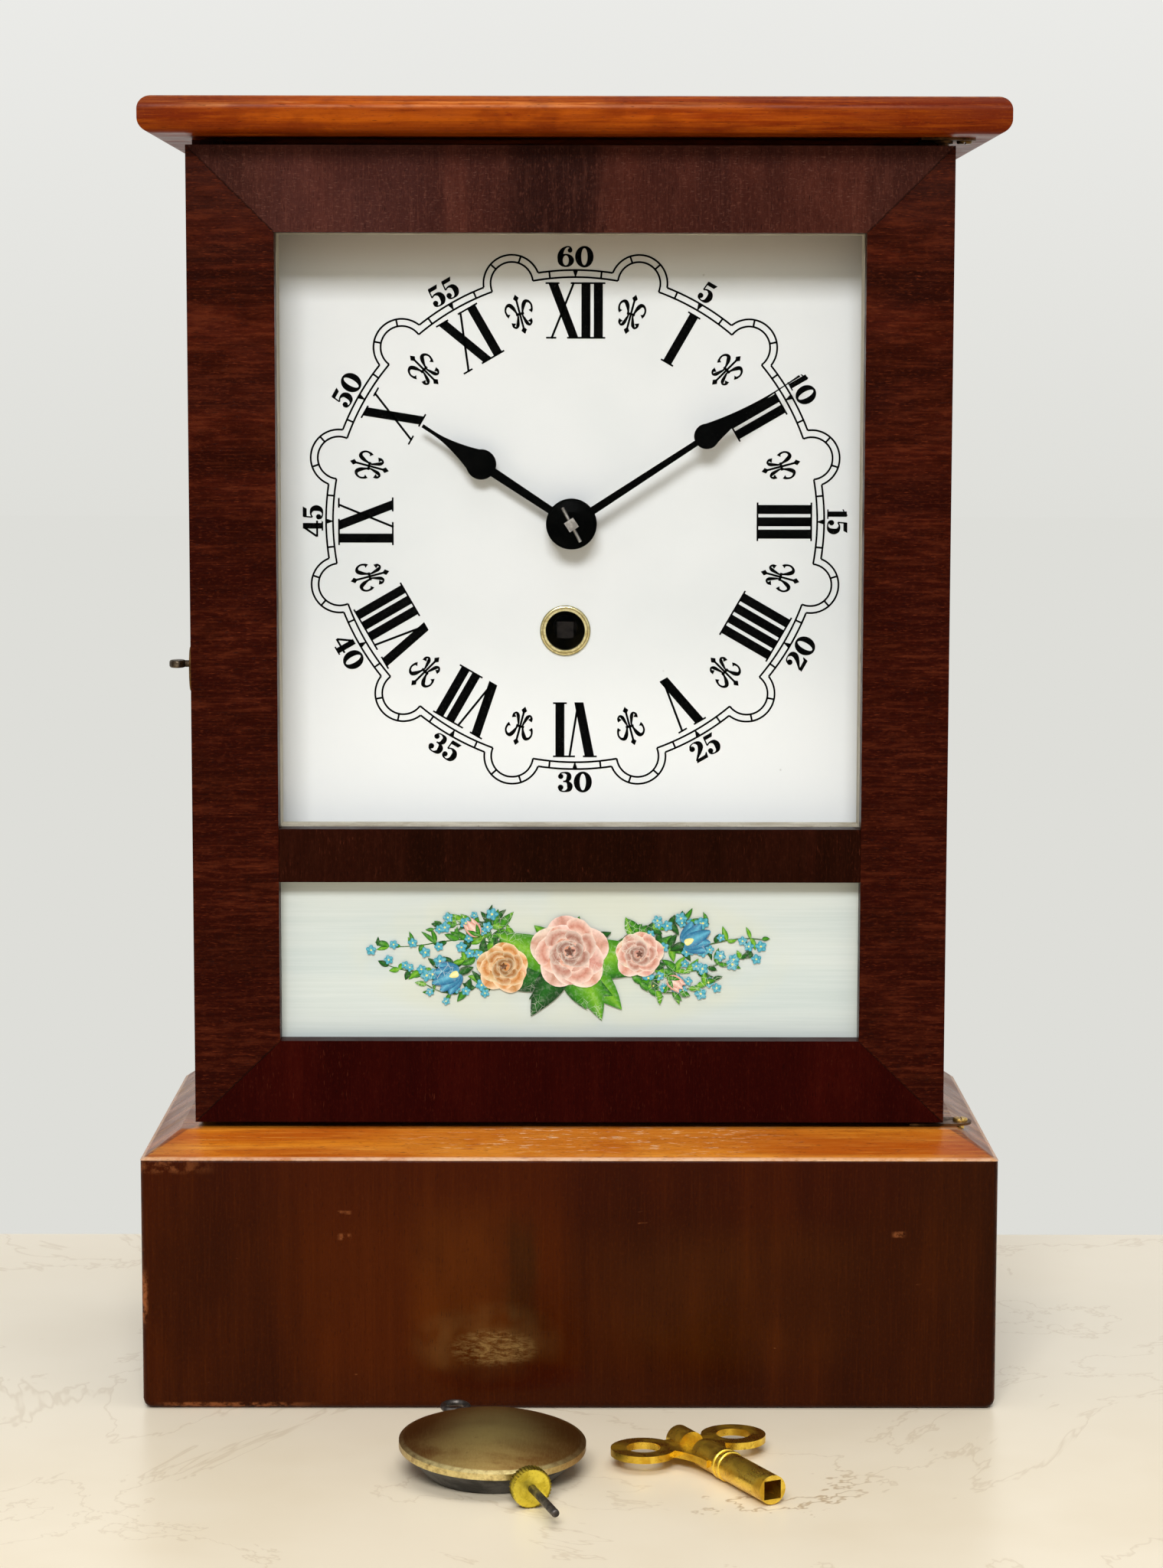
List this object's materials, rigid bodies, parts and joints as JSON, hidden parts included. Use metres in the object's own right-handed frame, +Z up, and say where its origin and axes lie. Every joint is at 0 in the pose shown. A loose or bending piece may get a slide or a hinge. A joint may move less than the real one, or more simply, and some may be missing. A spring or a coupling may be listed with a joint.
{
  "type": "shelf clock",
  "caption": "Flat-topped wooden shelf clock with a glazed hinged door, round-numbered dial, spring-driven movement, and its pendulum bob and winding key laid in front",
  "frame": {"origin": "centre of the base's footprint, on the underside that stands on the shelf", "axes": "+Z up, -Y to the front of the clock, +X to the right seen from the front"},
  "size_m": [0.225, 0.2136, 0.3416],
  "materials": {
    "door_veneer": "dark red-brown polished veneer",
    "top_veneer": "orange-brown glossy polish",
    "base_veneer": "dark figured veneer, polished",
    "base_edge": "orange-brown polish on the chamfered top",
    "pine": "plain unpolished softwood",
    "dial_paint": "off-white painted sheet with black print",
    "black_paint": "black satin",
    "clear_glass": "old clear sheet glass",
    "painted_glass": "glass painted behind with a pale ground and flowers",
    "brass": "worn brass",
    "bob_brass": "brown patina over thin brass",
    "key_brass": "polished golden brass",
    "bob_lead": "dull grey cast weight",
    "steel": "bright and worn steel",
    "spring_steel": "blued spring steel"
  },
  "bodies": {
    "case": {"base_back": "pine", "base_bottom": "pine", "base_ends": "base_veneer", "base_front": "base_veneer", "base_glue_blocks": "pine", "base_top": "base_edge", "case_back": "pine", "case_back_nails": "steel", "case_side_left": "door_veneer", "case_side_right": "door_veneer", "dial_pins": "steel", "dial_plate": "dial_paint", "dial_strips": "pine", "hinge_plates": "brass", "hinge_screws": "brass", "latch_keeper": "brass", "mainspring": "spring_steel", "movement_back_plate": "brass", "movement_front_plate": "brass", "movement_pillars": "steel", "movement_rails": "pine", "movement_screws": "steel", "pillar_nuts": "steel", "suspension_post": "brass", "top_board": "top_veneer", "winding_grommet": "brass"},
    "door": {"door_rail_bottom": "door_veneer", "door_rail_middle": "door_veneer", "door_rail_top": "door_veneer", "door_stile_left": "door_veneer", "door_stile_right": "door_veneer", "dial_glass": "clear_glass", "tablet_glass": "painted_glass", "glass_beads": "pine", "latch_escutcheon": "brass"},
    "latch": {"latch_knob": "brass", "latch_tongue": "brass"},
    "minute": {"centre_arbor": "steel", "minute_hand": "black_paint", "hand_washer": "black_paint", "taper_pin": "steel"},
    "hour": {"hour_wheel": "brass", "hour_hand": "black_paint"},
    "motion_wheel": {"minute_wheel": "brass"},
    "escape": {"escape_wheel": "steel"},
    "third": {"third_wheel": "steel"},
    "centre": {"centre_wheel": "brass"},
    "great": {"great_wheel": "brass", "click_spring": "steel"},
    "winder": {"winding_arbor": "steel"},
    "pawl": {"click": "steel"},
    "pendulum": {"suspension_spring": "spring_steel", "pendulum_rod": "steel"},
    "crutch": {"verge": "steel"},
    "bob_hanger": {"bob_wire": "steel"},
    "bob": {"bob_shell": "bob_brass", "bob_weight": "bob_lead"},
    "nut": {"rating_nut": "brass"},
    "key": {"key_wings": "key_brass", "key_barrel": "key_brass"}
  },
  "joints": [
    {"name": "door_swing", "type": "hinge", "parent": "case", "child": "door", "pos_m": [0.0965, -0.0364, 0.2022], "axis": [0, 0, 1], "range_deg": [0, 110]},
    {"name": "latch_turn", "type": "hinge", "parent": "door", "child": "latch", "pos_m": [-0.095, -0.0364, 0.1956], "axis": [1, 0, 0], "range_deg": [0, 90]},
    {"name": "minute_turn", "type": "hinge", "parent": "case", "child": "minute", "pos_m": [0.00033, -0.02, 0.23195], "axis": [0, 1, 0], "continuous": true},
    {"name": "hour_turn", "type": "hinge", "parent": "case", "child": "hour", "pos_m": [0.00033, -0.02, 0.23195], "axis": [0, 1, 0], "continuous": true},
    {"name": "minute_wheel_turn", "type": "hinge", "parent": "case", "child": "motion_wheel", "pos_m": [-0.01196, -0.01, 0.22335], "axis": [0, 1, 0], "continuous": true},
    {"name": "escape_turn", "type": "hinge", "parent": "case", "child": "escape", "pos_m": [0.00033, 0.01, 0.26938], "axis": [0, 1, 0], "continuous": true},
    {"name": "third_turn", "type": "hinge", "parent": "case", "child": "third", "pos_m": [-0.01478, 0.01, 0.25353], "axis": [0, 1, 0], "continuous": true},
    {"name": "centre_wheel_turn", "type": "hinge", "parent": "case", "child": "centre", "pos_m": [0.00033, 0, 0.23195], "axis": [0, 1, 0], "continuous": true},
    {"name": "great_wheel_turn", "type": "hinge", "parent": "case", "child": "great", "pos_m": [-0.00128, 0.005, 0.2033], "axis": [0, 1, 0], "continuous": true},
    {"name": "winding_turn", "type": "hinge", "parent": "case", "child": "winder", "pos_m": [-0.00128, 0.005, 0.2033], "axis": [0, 1, 0], "continuous": true},
    {"name": "click_lift", "type": "hinge", "parent": "great", "child": "pawl", "pos_m": [-0.00671, 0.0056, 0.21674], "axis": [0, -1, 0], "range_deg": [0, 10]},
    {"name": "pendulum_swing", "type": "hinge", "parent": "case", "child": "pendulum", "pos_m": [0.00033, 0.04, 0.28688], "axis": [0, 1, 0], "range_deg": [-3, 3]},
    {"name": "verge_swing", "type": "hinge", "parent": "case", "child": "crutch", "pos_m": [0.00033, 0.03, 0.28688], "axis": [0, 1, 0], "range_deg": [-3, 3]},
    {"name": "bob_lift", "type": "slide", "parent": "case", "child": "bob_hanger", "axis": [0, 0, 1], "range_m": [0, 0.04]},
    {"name": "rating_nut_turn", "type": "hinge", "parent": "bob_hanger", "child": "nut", "pos_m": [-0.019, -0.1125, 0.00706], "axis": [0.3445, -0.9362, -0.0698], "range_deg": [-722, 722]},
    {"name": "bob_slide", "type": "slide", "parent": "bob_hanger", "child": "bob", "axis": [0.3445, -0.9362, -0.0698], "range_m": [-0.001, 0.001]},
    {"name": "key_lift", "type": "slide", "parent": "case", "child": "key", "axis": [0, 0, 1], "range_m": [0, 0.04]}
  ],
  "couplings": [
    {"joint": "hour_turn", "follows": "minute_turn", "ratio": 0.083333},
    {"joint": "minute_wheel_turn", "follows": "minute_turn", "ratio": -0.33333},
    {"joint": "third_turn", "follows": "escape_turn", "ratio": -0.10606},
    {"joint": "centre_wheel_turn", "follows": "escape_turn", "ratio": 0.0095183},
    {"joint": "great_wheel_turn", "follows": "escape_turn", "ratio": -0.0014643},
    {"joint": "verge_swing", "follows": "pendulum_swing", "ratio": 1},
    {"joint": "rating_nut_turn", "follows": "bob_slide", "rad_per_m": 12566}
  ]
}
